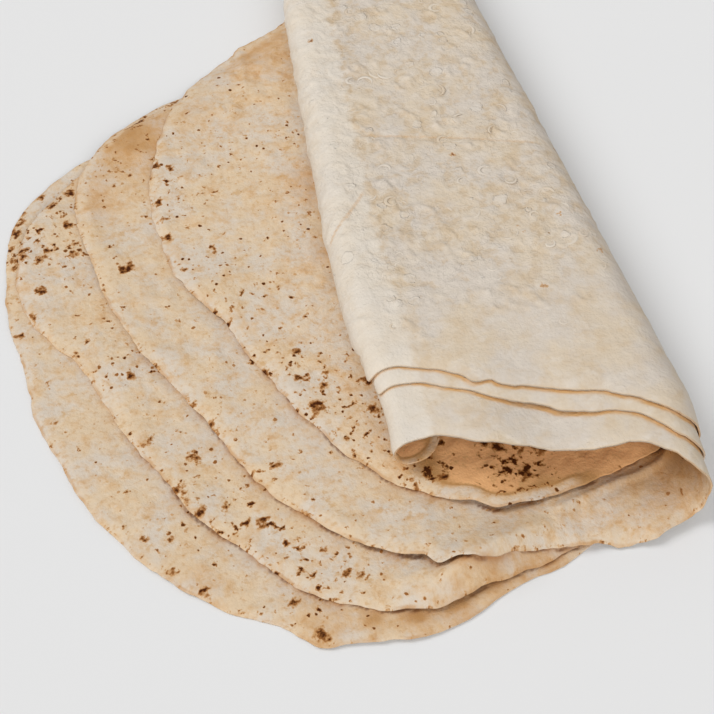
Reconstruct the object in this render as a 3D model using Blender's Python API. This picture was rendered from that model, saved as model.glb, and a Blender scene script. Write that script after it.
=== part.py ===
# Folded lavash: a stack of four thin, round, hand-stretched flatbreads, browned faces up.
# The sheets are fanned out to the front left. The right side of the whole stack is folded over
# in one soft, open turn, and the edge that comes back is tucked under itself.
#
# Every sheet is worked out flat first, as a round with an uneven rim, and is then laid on one
# shared net of folded lines. The net is flat on the left, turns over through the right fold,
# runs back as the flap and turns under through the left fold.
#
# Metres, +Z up. The origin is on the surface the bread lies on, under the middle of its box.

import math

import bmesh
import bpy
import numpy as np

MM = 0.001

# The bread
THICKNESS = 1.4
PITCH = 1.9            # from the middle of one sheet to the middle of the next, lying on it
FLOOR = THICKNESS / 2  # height of the bottom sheet's middle

# The right fold, a half turn along a straight line
FOLD_POINT = (150.1, -161.1)
FOLD_HEADING = 105.8   # degrees from +X towards +Y
FOLD_RADIUS = 18.5
FOLD_BEND_START = -5   # past here the line swings in a little, towards the front
FOLD_BEND = 0.0020     # mm inwards for each mm squared past that place
BEND_REACH = 80

# The flap between the folds
FLAP_WIDTH = 112.5     # at the front
FLAP_KNEE = 100.0      # distance from the front where it starts to narrow
FLAP_KNEE_SOFTNESS = 28.0
FLAP_TAPER = 0.134     # mm lost for each mm past the knee
FLAP_FALL = 4.0        # how much lower the flap is at the left fold
DIP_DEPTH = 4.0        # the sag in the roof of the front mouth
DIP_PLACE = 0.58       # of the way from the right fold to the left one
DIP_WIDTH = 0.20
DIP_FROM_FRONT = 20
DIP_LENGTH = 60
DIP_SHARES = (0.6, 0.7, 1.0, 1.0)

# The crease that stands up in the three upper sheets at the front
CREASE_HEIGHT = 10.0
CREASE_START = (-140.0, -50.0)
CREASE_SLOPE = 0.245
CREASE_RISE = (-150.0, -100.0)
CREASE_FALL = (-75.0, -25.0)
CREASE_HALF_WIDTH = 15.0

# The rims, bottom sheet first: the centre in the flat stack, measured across and along the
# fold from FOLD_POINT, and the distance to the rim every 15 degrees, from across towards along
SHEETS = (
    ("sheet_1", (-25, 180),
     (250, 250, 250, 250, 251, 244, 202, 177, 169, 178, 203, 246,
      257, 262, 277, 283, 279, 245, 213, 207, 198, 208, 231, 249)),
    ("sheet_2", (-20, 180),
     (250, 250, 250, 250, 251, 244, 200, 174, 168, 175, 201, 238,
      256, 240, 245, 256, 265, 236, 216, 216, 205, 212, 239, 250)),
    ("sheet_3", (5, 195),
     (245, 245, 245, 245, 245, 246, 228, 191, 181, 181, 217, 243,
      242, 239, 239, 255, 257, 246, 236, 226, 226, 249, 261, 245)),
    ("sheet_4", (30, 210),
     (238, 238, 238, 238, 238, 237, 227, 201, 188, 200, 213, 223,
      229, 226, 229, 247, 252, 229, 205, 203, 210, 224, 228, 233)),
)

# Baked wheat dough, a little browner on the sheet that was on top
COLOURS = ((0.80, 0.66, 0.50), (0.78, 0.63, 0.46), (0.77, 0.61, 0.44), (0.75, 0.59, 0.42))
ROUGHNESS = 0.85

# The net: how finely the folded lines follow the shape
TURN_STEPS = 8
FLAP_STEPS = 6
ACROSS_REACH = 290
ACROSS_STEP = 22
CREASE_ACROSS = (-140, -28)
CREASE_ACROSS_STEP = 14
TUCK_LINES = (11, 24, 38, 54, 72)
ALONG_FRONT = (-72, 8)
ALONG_FRONT_STEP = 10
ALONG_END = 450
ALONG_STEP = 24
SNAP = 0.16            # a crossing this near to a corner of the net moves the corner to it

TUCK_LEVEL = FLOOR + len(SHEETS) * PITCH
TUCK_RADIUS = (FLOOR + 2 * FOLD_RADIUS - FLAP_FALL - TUCK_LEVEL) / 2
TURN_END = math.pi * FOLD_RADIUS
FLAP_END = TURN_END + FLAP_WIDTH
TUCK_END = FLAP_END + math.pi * TUCK_RADIUS


def clear_scene():
    for obj in list(bpy.data.objects):
        bpy.data.objects.remove(obj, do_unlink=True)


def ease(x):
    """From 0 to 1, flat at both ends."""
    x = min(max(x, 0.0), 1.0)
    return x * x * (3 - 2 * x)


def rim_radius(radii, angle):
    """The rim's distance from the centre, on a smooth closed curve through the radii."""
    place = (angle / math.tau) % 1.0 * len(radii)
    first = int(place)
    f = place - first
    before, start, end, after = (radii[(first + i) % len(radii)] for i in (-1, 0, 1, 2))
    return start + 0.5 * f * (end - before + f * (2 * before - 5 * start + 4 * end - after
                                                  + f * (3 * (start - end) + after - before)))


def flap_width(along):
    """The flap narrows towards the back, past a soft knee."""
    past = (along - FLAP_KNEE) / FLAP_KNEE_SOFTNESS
    return FLAP_WIDTH - FLAP_TAPER * FLAP_KNEE_SOFTNESS * math.log1p(math.exp(past))


def flat_across(line, along):
    """Distance across the flat bread of a net line, which counts the flap at full width."""
    width = flap_width(along)
    if line < TURN_END:
        return line
    if line < FLAP_END:
        return TURN_END + (line - TURN_END) * width / FLAP_WIDTH
    return line - FLAP_WIDTH + width


def crease(across, along):
    """Height that the crease adds to a sheet lying flat."""
    crest = CREASE_START[1] + CREASE_SLOPE * (across - CREASE_START[0])
    rise = ease((across - CREASE_RISE[0]) / (CREASE_RISE[1] - CREASE_RISE[0]))
    fall = 1 - ease((across - CREASE_FALL[0]) / (CREASE_FALL[1] - CREASE_FALL[0]))
    return CREASE_HEIGHT * rise * fall * math.exp(-((along - crest) / CREASE_HALF_WIDTH) ** 2)


def flap_sag(share, along, sheet):
    """How far the flap hangs below its straight run, share of the way to the left fold."""
    front = math.exp(-((along - DIP_FROM_FRONT) / DIP_LENGTH) ** 2)
    dip = math.exp(-((share - DIP_PLACE) / DIP_WIDTH) ** 2) * math.sin(math.pi * share)
    return FLAP_FALL * ease(share) + DIP_DEPTH * DIP_SHARES[sheet] * dip * front


def folded(line, along, sheet):
    """The place of a point of a sheet, as x, y, z in mm."""
    inset = sheet * PITCH
    width = flap_width(along)
    if line < 0:
        across = line
        height = FLOOR + inset
        if sheet:
            height += crease(across, along)
    elif line < TURN_END:
        turn = line / FOLD_RADIUS
        across = (FOLD_RADIUS - inset) * math.sin(turn)
        height = FLOOR + FOLD_RADIUS - (FOLD_RADIUS - inset) * math.cos(turn)
    elif line < FLAP_END:
        share = (line - TURN_END) / FLAP_WIDTH
        across = -share * width
        height = FLOOR + 2 * FOLD_RADIUS - inset - flap_sag(share, along, sheet)
    elif line < TUCK_END:
        turn = (line - FLAP_END) / TUCK_RADIUS
        across = -width - (TUCK_RADIUS - inset) * math.sin(turn)
        height = TUCK_LEVEL + TUCK_RADIUS + (TUCK_RADIUS - inset) * math.cos(turn)
    else:
        across = line - TUCK_END - width
        height = TUCK_LEVEL + inset
    past = min(0, along - FOLD_BEND_START)
    across -= FOLD_BEND * past ** 2 * ease(1 + across / BEND_REACH)
    heading = math.radians(FOLD_HEADING)
    x = FOLD_POINT[0] + across * math.sin(heading) + along * math.cos(heading)
    y = FOLD_POINT[1] - across * math.cos(heading) + along * math.sin(heading)
    return np.array((x, y, height))


def net_lines():
    """The net's lines along the fold, then its lines across it."""
    flat_end, crease_end = CREASE_ACROSS
    along_lines = list(np.arange(-ACROSS_REACH, flat_end, ACROSS_STEP))
    along_lines += list(np.arange(flat_end, crease_end, CREASE_ACROSS_STEP))
    along_lines += [crease_end, crease_end / 2]
    along_lines += [TURN_END * i / TURN_STEPS for i in range(TURN_STEPS)]
    along_lines += [TURN_END + FLAP_WIDTH * i / FLAP_STEPS for i in range(FLAP_STEPS)]
    along_lines += [FLAP_END + (TUCK_END - FLAP_END) * i / TURN_STEPS for i in range(TURN_STEPS + 1)]
    along_lines += [TUCK_END + extra for extra in TUCK_LINES]
    front, front_end = ALONG_FRONT
    across_lines = list(np.arange(front, front_end, ALONG_FRONT_STEP))
    across_lines += list(np.arange(front_end, ALONG_END, ALONG_STEP))
    return np.array(along_lines, float), np.array(across_lines, float)


def on_net(net, lines, alongs, point):
    """Reads a point off the net's flat triangles, which all the sheets share."""
    i = int(np.clip(np.searchsorted(lines, point[0], side="right") - 1, 0, len(lines) - 2))
    j = int(np.clip(np.searchsorted(alongs, point[1], side="right") - 1, 0, len(alongs) - 2))
    a = (point[0] - lines[i]) / (lines[i + 1] - lines[i])
    b = (point[1] - alongs[j]) / (alongs[j + 1] - alongs[j])
    corner, far = net[i][j], net[i + 1][j + 1]
    if a >= b:
        side = net[i + 1][j]
        return corner + a * (side - corner) + b * (far - side)
    side = net[i][j + 1]
    return corner + b * (side - corner) + a * (far - side)


class CutNet:
    """The part of the net that lies inside one sheet's rim, as triangles."""

    def __init__(self, lines, alongs, centre, radii):
        self.points = []
        self.room = []
        self.triangles = []
        self.crossings = {}
        self.columns = len(alongs)
        for line in lines:
            for along in alongs:
                dx = flat_across(line, along) - centre[0]
                dy = along - centre[1]
                self.points.append(np.array((line, along)))
                self.room.append(rim_radius(radii, math.atan2(dy, dx)) - math.hypot(dx, dy))
        cells = [(i, j) for i in range(len(lines) - 1) for j in range(len(alongs) - 1)]
        self.snap_corners(cells)
        for i, j in cells:
            low, side, far, top = self.corners(i, j)
            self.cut_triangle(low, side, far)
            self.cut_triangle(low, far, top)

    def corners(self, i, j):
        low = i * self.columns + j
        return low, low + self.columns, low + self.columns + 1, low + 1

    def snap_corners(self, cells):
        """Moves a corner onto the rim where the rim passes close to it."""
        for i, j in cells:
            low, side, far, top = self.corners(i, j)
            for a, b in ((low, side), (low, top), (low, far)):
                if self.room[a] * self.room[b] >= 0:
                    continue
                share = self.room[a] / (self.room[a] - self.room[b])
                near = a if share < SNAP else b if share > 1 - SNAP else None
                if near is not None:
                    self.points[near] = self.between(a, b, share)
                    self.room[near] = 0.0

    def between(self, a, b, share):
        return self.points[a] + share * (self.points[b] - self.points[a])

    def crossing(self, a, b):
        """The point where the rim crosses an edge of the net, made once for each edge."""
        a, b = min(a, b), max(a, b)
        if (a, b) not in self.crossings:
            share = self.room[a] / (self.room[a] - self.room[b])
            self.crossings[a, b] = len(self.points)
            self.points.append(self.between(a, b, share))
            self.room.append(0.0)
        return self.crossings[a, b]

    def cut_triangle(self, *corners):
        if max(self.room[c] for c in corners) <= 0:
            return
        shape = []
        for a, b in zip(corners, corners[1:] + corners[:1]):
            if self.room[a] >= 0:
                shape.append(a)
            if self.room[a] * self.room[b] < 0:
                shape.append(self.crossing(a, b))
        for i in range(1, len(shape) - 1):
            self.triangles.append((shape[0], shape[i], shape[i + 1]))


def bread_material(name, colour):
    material = bpy.data.materials.new(name)
    material.use_nodes = True
    shader = material.node_tree.nodes["Principled BSDF"]
    shader.inputs["Base Color"].default_value = (*colour, 1)
    shader.inputs["Roughness"].default_value = ROUGHNESS
    shader.inputs["Metallic"].default_value = 0.0
    return material


def make_sheet(sheet, lines, alongs):
    """One bread: its middle surface cut from the net, then given its thickness."""
    name, centre, radii = SHEETS[sheet]
    net = [[folded(line, along, sheet) for along in alongs] for line in lines]
    cut = CutNet(lines, alongs, centre, radii)
    mesh = bpy.data.meshes.new(name)
    bm = bmesh.new()
    verts = {}
    for triangle in cut.triangles:
        for index in triangle:
            if index not in verts:
                place = on_net(net, lines, alongs, cut.points[index]) * MM
                verts[index] = bm.verts.new(place)
        bm.faces.new([verts[index] for index in triangle])
    bm.to_mesh(mesh)
    bm.free()
    obj = bpy.data.objects.new(name, mesh)
    bpy.context.scene.collection.objects.link(obj)
    mesh.materials.append(bread_material(name, COLOURS[sheet]))
    thicken = obj.modifiers.new("thickness", "SOLIDIFY")
    thicken.thickness = THICKNESS * MM
    thicken.offset = 0
    thicken.use_even_offset = True
    thicken.use_rim = True
    return obj


def main():
    clear_scene()
    lines, alongs = net_lines()
    for sheet in range(len(SHEETS)):
        make_sheet(sheet, lines, alongs)


main()
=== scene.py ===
# Folded lavash: the looks of a stack of four thin flatbreads, fanned out, with the right side
# folded over in a soft open turn and tucked under.
#
# Each sheet is worked out flat, in mm across and along the fold, and then folded the same way as
# the solid that it stands for. Its relief, its rim, its baking marks and the light and shade
# painted on it are laid out on the flat sheet too, so they follow the dough through the folds.

import math

import bpy
import numpy as np
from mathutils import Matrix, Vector


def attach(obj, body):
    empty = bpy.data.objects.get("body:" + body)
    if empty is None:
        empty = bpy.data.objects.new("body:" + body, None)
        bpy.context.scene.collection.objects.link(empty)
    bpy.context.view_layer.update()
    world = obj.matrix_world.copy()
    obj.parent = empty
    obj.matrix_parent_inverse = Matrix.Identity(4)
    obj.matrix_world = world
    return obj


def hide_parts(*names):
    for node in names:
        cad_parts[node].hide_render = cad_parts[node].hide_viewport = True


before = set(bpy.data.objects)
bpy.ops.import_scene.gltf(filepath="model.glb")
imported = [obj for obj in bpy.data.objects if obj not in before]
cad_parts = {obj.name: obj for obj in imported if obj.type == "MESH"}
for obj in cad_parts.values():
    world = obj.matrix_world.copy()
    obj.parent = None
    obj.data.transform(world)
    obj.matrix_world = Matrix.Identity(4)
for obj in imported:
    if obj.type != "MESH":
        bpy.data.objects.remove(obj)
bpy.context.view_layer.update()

MM = 0.001

# The bread, in mm, as in the solids
THICKNESS = 1.4
PITCH = 1.9
FLOOR = THICKNESS / 2
FOLD_POINT = (150.1, -161.1)
FOLD_HEADING = math.radians(105.8)
FOLD_RADIUS = 18.5
FOLD_BEND_START = -5
FOLD_BEND = 0.0020
BEND_REACH = 80
FLAP_WIDTH = 112.5
FLAP_KNEE = 100.0
FLAP_KNEE_SOFTNESS = 28.0
FLAP_TAPER = 0.134
FLAP_FALL = 4.0
DIP_DEPTH = 4.5
DIP_PLACE = 0.45
DIP_WIDTH = 0.18
DIP_FROM_FRONT = 10
DIP_LENGTH = 50
DIP_SHARES = (0.5, 0.6, 1.0, 1.0)
TUCK_NARROWING = 2.7        # how much tighter the left turn is at the front
TUCK_NARROWING_REACH = 50
NARROWING_SHARES = (0.62, 1.0)  # the flap comes down to it over this share of its width
FRONT_WIDENING = 5.0        # how much further out the left fold stands at the front
FRONT_WIDENING_PLACE = 10
FRONT_WIDENING_REACH = 20
CREASE_HEIGHT = 10.0
CREASE_START = (-140.0, -50.0)
CREASE_SLOPE = 0.245
CREASE_RISE = (-150.0, -100.0)
CREASE_FALL = (-96.0, -36.0)
CREASE_HALF_WIDTHS = (5.0, 12.0)   # towards the rim, where it is steep, and away from it
CREASE_BLEND = 2.0          # from one half width to the other, each side of the crest
CREASE_CREST = 1.2          # how round the crest is
CREASE_FALL_OFF = 1.3       # 1 is a sharp ridge, 2 a bell
FRONT_LEAN = 3.2            # how much further in the front of the turn stands
FRONT_LEAN_REACH = (8, -18)
FRONT_LEAN_GROWS = (0, 30)  # from here to there round the turn it grows, and
FRONT_LEAN_FADES = (100, 60)    # from here back to there it is at its full amount

# The rims, bottom sheet first: node, slot, centre across and along from FOLD_POINT, and the
# distance to the rim every 15 degrees
SHEETS = (
    ("sheet_1", "bread_bottom", (-25, 180),
     (250, 250, 250, 250, 251, 244, 202, 177, 169, 178, 203, 246,
      257, 262, 277, 283, 279, 245, 213, 207, 198, 208, 231, 249)),
    ("sheet_2", "bread_lower", (-20, 180),
     (250, 250, 250, 250, 251, 244, 200, 174, 168, 175, 201, 238,
      256, 240, 245, 256, 265, 236, 216, 216, 205, 212, 239, 250)),
    ("sheet_3", "bread_upper", (5, 195),
     (245, 245, 245, 245, 245, 246, 228, 191, 181, 181, 217, 243,
      242, 239, 239, 255, 257, 246, 236, 226, 226, 249, 261, 245)),
    ("sheet_4", "bread_top", (30, 210),
     (238, 238, 238, 238, 238, 237, 227, 201, 188, 200, 213, 223,
      229, 226, 229, 247, 252, 229, 205, 203, 210, 224, 228, 233)),
)

# Places where the rim was pulled out or in: degrees round the centre, how wide, how far
RIM_PULLS = (
    ((-29.5, 1.8, 13.0), (-37, 3, -2.6), (-41.7, 1.2, 2.6), (-42.9, 1.0, -1.6), (-46, 3, 1.2),
     (-67, 2.5, 1.6), (-76, 4.5, -9.0), (-104, 3, -3.2), (-112, 5, 2.3), (-122.5, 1.5, 3.4),
     (-127, 3, -2.6), (-154, 2.5, -2.0), (-161, 3, 2.0)),
    ((-32.2, 1.5, 9.0), (-34.5, 2.2, 2.2), (-36.5, 3.2, -5.0), (-42, 2.5, -2.0),
     (-46.5, 4, 3.0), (-54, 4, 3.0), (-63, 4, -3.0), (-66.5, 3.5, -2.2),
     (-78, 4, -8.0), (-114, 3, 2.5), (-140, 3, 2.0)),
    ((-38.6, 4, 29.0), (-44.6, 1.6, 1.2), (-49, 3.2, -8.6), (-54, 2.5, -1.2), (-57.5, 3, 1.4),
     (-62.5, 4, 3.0), (-72, 3, -3.2), (-76.5, 2.5, -1.6), (-80.5, 4.5, 7.8), (-88, 3, 2.6),
     (-94.5, 3.8, 3.8), (-99, 3, 2.6), (-114.5, 3, 6.0), (-117.9, 1.3, 7.0), (-121, 2, 2.0),
     (-124, 5, 3.7), (146, 4, -3.0)),
    ((-108.5, 3.5, 1.9), (-113.5, 3, 5.0), (-116.5, 1.4, 2.6), (-117, 2, 1.6), (-125, 5, -1.7),
     (-126.5, 1.5, 1.4), (-130.5, 1.5, -1.6), (-129, 2, 2.6), (-139, 4.5, -3.5),
     (-158, 3, -3.5), (-169, 4, 2.6)),
)

TUCK_LEVEL = FLOOR + len(SHEETS) * PITCH
TUCK_RADIUS = (FLOOR + 2 * FOLD_RADIUS - FLAP_FALL - TUCK_LEVEL) / 2
TURN_END = math.pi * FOLD_RADIUS
FLAP_END = TURN_END + FLAP_WIDTH
TUCK_END = FLAP_END + math.pi * TUCK_RADIUS

# How finely each sheet is divided across the fold: (from, to, step) in mm. What other sheets
# hide is coarse, and the flap's outer skin is the finest.
ACROSS_STEPS = (
    ((-290, -140, 2.0), (-140, 0, 7.0), (0, 58, 2.2), (58, 205, 1.3), (205, 292, 8.0)),
    ((-290, -60, 1.8), (-60, 0, 4.0), (0, 58, 2.4), (58, 212, 2.6), (212, 292, 8.0)),
    ((-260, 0, 1.9), (0, 58, 1.9), (58, 212, 2.5), (212, 250, 2.6), (250, 292, 8.0)),
    ((-225, 0, 1.5), (0, 58, 2.4), (58, 212, 4.0), (212, 292, 6.0)),
)
ALONG_STEPS = (
    ((-75, 400, 1.7), (400, 455, 3.0)),
    ((-75, 340, 1.8), (340, 455, 3.5)),
    ((-75, 380, 1.8), (380, 455, 3.5)),
    ((-75, 400, 1.6), (400, 455, 3.0)),
)

# The rim: uneven where the dough was stretched by hand, thinner than the middle, and round
RIM_WOBBLE = ((28.0, 1.4), (11.0, 0.9), (4.5, 0.45))   # length of a wave and its height
RIM_ROUND = 0.4
RIM_THIN = 0.62
RIM_THIN_REACH = 5.0
RIM_SETTLE = 0.45            # the rim rests on the sheet under it
RIM_SETTLE_REACH = 5.0
RIM_SHADE_REACH = 1.5           # painted shade: dark in the corner beside a rim,
RIM_SHADE_BAND = 6.0            # and lighter in a soft band along it
RIM_SHADE_SHARES = (0.7, 0.3)
RIM_SHADE_LEAST = 0.2           # share of the painted shade at the left, where the rims face the light, against 1 at the front
RIM_CALM_REACH = 2.5         # the relief fades out this near the rim
COVER_REACH = 7              # over this much past a rim, the sheet below comes into the open
RIM_PLACE = 240              # mm from the centre, where the rim's waves are laid out
SNAP = 0.16                  # how near a cut, as a share, a net point moves onto it


def ease(x):
    """From 0 to 1, flat at both ends."""
    x = np.clip(x, 0.0, 1.0)
    return x * x * (3 - 2 * x)


def between(value, start, end):
    """0 up to the start, 1 from the end on, and smooth between them."""
    return ease((value - start) / (end - start))


def bell(x):
    """1 in the middle, falling to about a third at 1."""
    return np.exp(-x * x)


def ripple(places, size, seed):
    """Smooth random waves between about -1 and 1, with bumps of the given size in mm. Each
    seed lays them out in another way."""
    rng = np.random.default_rng(seed)
    order = rng.permutation(256)
    slopes = rng.uniform(0, math.tau, 256)
    scaled = np.asarray(places, float) / size + 1000
    cell = np.floor(scaled).astype(int)
    inside = scaled - cell
    fade = inside ** 3 * (inside * (inside * 6 - 15) + 10)

    def corner(dx, dy):
        index = order[(order[(cell[:, 0] + dx) & 255] + cell[:, 1] + dy) & 255]
        return (np.cos(slopes[index]) * (inside[:, 0] - dx)
                + np.sin(slopes[index]) * (inside[:, 1] - dy))

    low = corner(0, 0) * (1 - fade[:, 0]) + corner(1, 0) * fade[:, 0]
    high = corner(0, 1) * (1 - fade[:, 0]) + corner(1, 1) * fade[:, 0]
    return 1.6 * (low * (1 - fade[:, 1]) + high * fade[:, 1])


def rim_radius(radii, angle):
    """The rim's distance from the centre, on a smooth closed curve through the radii."""
    place = (angle / math.tau) % 1.0 * len(radii)
    first = np.floor(place).astype(int)
    part = place - first
    radii = np.array(radii, float)
    before, start, end, after = (radii[(first + step) % len(radii)] for step in (-1, 0, 1, 2))
    cubic = 3 * (start - end) + after - before
    square = 2 * before - 5 * start + 4 * end - after
    return start + 0.5 * part * (end - before + part * (square + part * cubic))


def rim_room(sheet, across, along):
    """Distance inwards from the even rim of a sheet, in mm."""
    _, _, centre, radii = SHEETS[sheet]
    dx, dy = across - centre[0], along - centre[1]
    angle = np.arctan2(dy, dx)
    room = rim_radius(radii, angle) - np.hypot(dx, dy)
    for place, width, pull in RIM_PULLS[sheet]:
        away = (np.degrees(angle) - place + 180) % 360 - 180
        room = room + pull * bell(away / width)
    return room


def flap_width(along):
    """How wide the flap is, which narrows past its knee."""
    past = (along - FLAP_KNEE) / FLAP_KNEE_SOFTNESS
    front = FRONT_WIDENING * bell((along - FRONT_WIDENING_PLACE) / FRONT_WIDENING_REACH)
    return FLAP_WIDTH + front - FLAP_TAPER * FLAP_KNEE_SOFTNESS * np.log1p(np.exp(past))


def flat_across(line, along):
    """Distance across the flat bread of a net line, which counts the flap at full width."""
    width = flap_width(along)
    return np.where(line < TURN_END, line,
                    np.where(line < FLAP_END, TURN_END + (line - TURN_END) * width / FLAP_WIDTH,
                             line - FLAP_WIDTH + width))


def crease(across, along):
    """Height that the crease adds to a sheet lying flat."""
    ahead = along - CREASE_START[1] - CREASE_SLOPE * (across - CREASE_START[0])
    steep, gentle = CREASE_HALF_WIDTHS
    half_width = steep + (gentle - steep) * between(ahead, -CREASE_BLEND, CREASE_BLEND)
    ahead = np.hypot(ahead, CREASE_CREST) - CREASE_CREST
    rise = between(across, *CREASE_RISE)
    fall = 1 - between(across, *CREASE_FALL)
    return CREASE_HEIGHT * rise * fall * np.exp(-(ahead / half_width) ** CREASE_FALL_OFF)


# Where a sheet lies flat: how it waves, how its rim lifts, and how it steps down past the rim
# of the sheet below it
WAVE_HEIGHT = 1.8
WAVE_SIZE = 85
LIFT_HEIGHT = (0.8, 2.0, 2.2, 1.8)
LIFT_SIZE = 42
LIFT_REACH = 24
WAVE_START = (-120, -180)     # no waves from here to the roll, full waves past there
FRONT_WAVES = ((30, -30), (-60, -120))     # the same along and across, for the front
STEP_DOWN = 16
STEP_START = (-12, -36)       # no steps down from here to the roll, full ones past there
LIFT_END = (4, -16)
# Places where a sheet stands off the ones below: sheet, across, along, reach, height
LIFTS = (
    (2, -122, -30, 20, 3.0),
    (3, -92, -12, 13, 2.2),
    (3, -74, -19, 14, 2.6),
    (3, -40, -12, 13, 1.6),
    (3, -184, 150, 24, 1.5),
    (1, -255, 225, 24, 2.0),
    (2, -226, 140, 26, 1.6),
)


def flat_lift(sheet, across, along):
    """Height of a flat-lying sheet's middle above its plain level, in mm."""
    places = np.stack([across, along], 1)
    front = between(along, *FRONT_WAVES[0]) * between(across, *FRONT_WAVES[1])
    free = np.maximum(between(across, *WAVE_START), front)
    height = free * WAVE_HEIGHT * np.maximum(0, ripple(places, WAVE_SIZE, 3) + 0.25)
    for lower in range(sheet + 1):
        room = rim_room(lower, across, along)
        near = bell(np.maximum(room, 0) / LIFT_REACH) * ease(1 + room / STEP_DOWN)
        wave = np.maximum(0, ripple(places, LIFT_SIZE, 20 + lower) + 0.1)
        height += free * LIFT_HEIGHT[lower] * near * wave
        if lower < sheet:
            height -= PITCH * ease(-room / STEP_DOWN) * between(across, *STEP_START)
    for lifted, mid_across, mid_along, reach, lift in LIFTS:
        if sheet >= lifted:
            away = np.hypot(across - mid_across, along - mid_along)
            height += lift * bell(away / reach) * between(across, *LIFT_END)
    if sheet:
        height += crease(across, along)
    return height


def narrowing(along):
    """How much tighter the left turn is here."""
    return TUCK_NARROWING * bell((along - DIP_FROM_FRONT) / TUCK_NARROWING_REACH)


def flap_sag(share, along, sheet):
    """How far the flap has sunk at a share of its width, with its dip at the front."""
    front = bell((along - DIP_FROM_FRONT) / DIP_LENGTH)
    dip = bell((share - DIP_PLACE) / DIP_WIDTH) * np.sin(math.pi * share)
    return (FLAP_FALL * ease(share) + DIP_DEPTH * DIP_SHARES[sheet] * dip * front
            + 2 * narrowing(along) * between(share, *NARROWING_SHARES))


LIP_HEIGHT = (0.05, 0.1)     # how far the two outer sheets of the flap stand off at their rims
LIP_REACH = 9
LIP_FADE = 14                # towards both turns
LIP_WAVE = 26


def flap_lip(sheet, line, across, along):
    """How far the flap's outer sheets stand off near their rims, in mm."""
    lift = np.zeros_like(line)
    on_flap = ease((line - TURN_END) / LIP_FADE) * ease((FLAP_END - line) / LIP_FADE)
    for upper in range(sheet, len(LIP_HEIGHT)):
        room = np.maximum(rim_room(upper, across, along), 0)
        wave = ease(0.55 + ripple(np.stack([across, along], 1), LIP_WAVE, 200 + upper))
        lift += LIP_HEIGHT[upper] * bell(room / LIP_REACH) * wave * on_flap
    return lift


def folded(sheet, line, along, side):
    """Folds a flat sheet: points in mm, side being the distance above its middle."""
    offset = sheet * PITCH + side
    width = flap_width(along)
    tuck = TUCK_RADIUS - narrowing(along)
    flat = line < 0
    turning = (line >= 0) & (line < TURN_END)
    flap = (line >= TURN_END) & (line < FLAP_END)
    tucking = (line >= FLAP_END) & (line < TUCK_END)
    turn = np.where(turning, line / FOLD_RADIUS, (line - FLAP_END) / TUCK_RADIUS)
    share = np.clip((line - TURN_END) / FLAP_WIDTH, 0, 1)
    across = np.select(
        [flat, turning, flap, tucking],
        [line, (FOLD_RADIUS - offset) * np.sin(turn), -share * width,
         -width - (tuck - offset) * np.sin(turn)],
        line - TUCK_END - width)
    flap_height = FLOOR + 2 * FOLD_RADIUS - offset - flap_sag(share, along, sheet)
    height = np.select(
        [flat, turning, flap, tucking],
        [FLOOR + offset, FLOOR + FOLD_RADIUS - (FOLD_RADIUS - offset) * np.cos(turn),
         flap_height + flap_lip(sheet, line, flat_across(line, along), along),
         TUCK_LEVEL + tuck + (tuck - offset) * np.cos(turn)],
        TUCK_LEVEL + offset)
    height += np.where(flat, flat_lift(sheet, across, along), 0)
    past = np.minimum(0, along - FOLD_BEND_START)
    across = across - FOLD_BEND * past ** 2 * ease(1 + across / BEND_REACH)
    lean = (between(along, *FRONT_LEAN_REACH) * between(line, *FRONT_LEAN_GROWS)
            * between(line, *FRONT_LEAN_FADES))
    across = across - FRONT_LEAN * lean
    x = FOLD_POINT[0] + across * math.sin(FOLD_HEADING) + along * math.cos(FOLD_HEADING)
    y = FOLD_POINT[1] - across * math.cos(FOLD_HEADING) + along * math.sin(FOLD_HEADING)
    return np.stack([x, y, height], 1)


# Thin ridges pressed into the dough: sheet, face, height, half width, and their paths on the
# flat sheet
PRESSED = (
    (0, "back", 1.1, 1.5, ((180, 151), (167, 162), (154, 175))),
    (0, "back", 0.9, 6.0, ((184, 158), (172, 169), (160, 181))),
    (0, "back", 0.8, 1.4, ((184, 93), (175, 89))),
    (0, "back", -0.5, 2.0, ((140, 214), (96, 197), (55, 180))),
    (2, "face", 2.0, 1.8, ((-56, -24), (-37, -19), (-23, -16), (-13, -15), (-3, -12), (9, -5))),
    (3, "face", 0.9, 2.2, ((-178, 236), (-150, 262), (-128, 300), (-122, 340))),
    (3, "face", 0.8, 2.0, ((-190, 262), (-165, 282), (-140, 290))),
)

# Lines where the flap's outer skin was creased, with painted shade in tan along them: strength,
# half width and path
CREASE_SHADE = (
    (0.55, 1.6, ((178, 147), (164, 157), (152, 171))),
    (0.48, 1.6, ((140, 214), (118, 206), (96, 197), (55, 180))),
)


def distance_to(path, across, along):
    """Distance on the flat sheet to a path of straight runs."""
    nearest = np.full(len(across), 1e9)
    for (a0, t0), (a1, t1) in zip(path, path[1:]):
        run = (a1 - a0, t1 - t0)
        share = ((across - a0) * run[0] + (along - t0) * run[1]) / (run[0] ** 2 + run[1] ** 2)
        share = np.clip(share, 0, 1)
        away = np.hypot(across - a0 - share * run[0], along - t0 - share * run[1])
        nearest = np.minimum(nearest, away)
    return nearest


def pressed_relief(sheet, face, across, along):
    """Height of the pressed ridges on one face of a sheet, in mm."""
    height = np.zeros_like(across)
    for which, side, lift, width, path in PRESSED:
        if (which, side) == (sheet, face):
            height += lift * bell(distance_to(path, across, along) / width)
    return height


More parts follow.
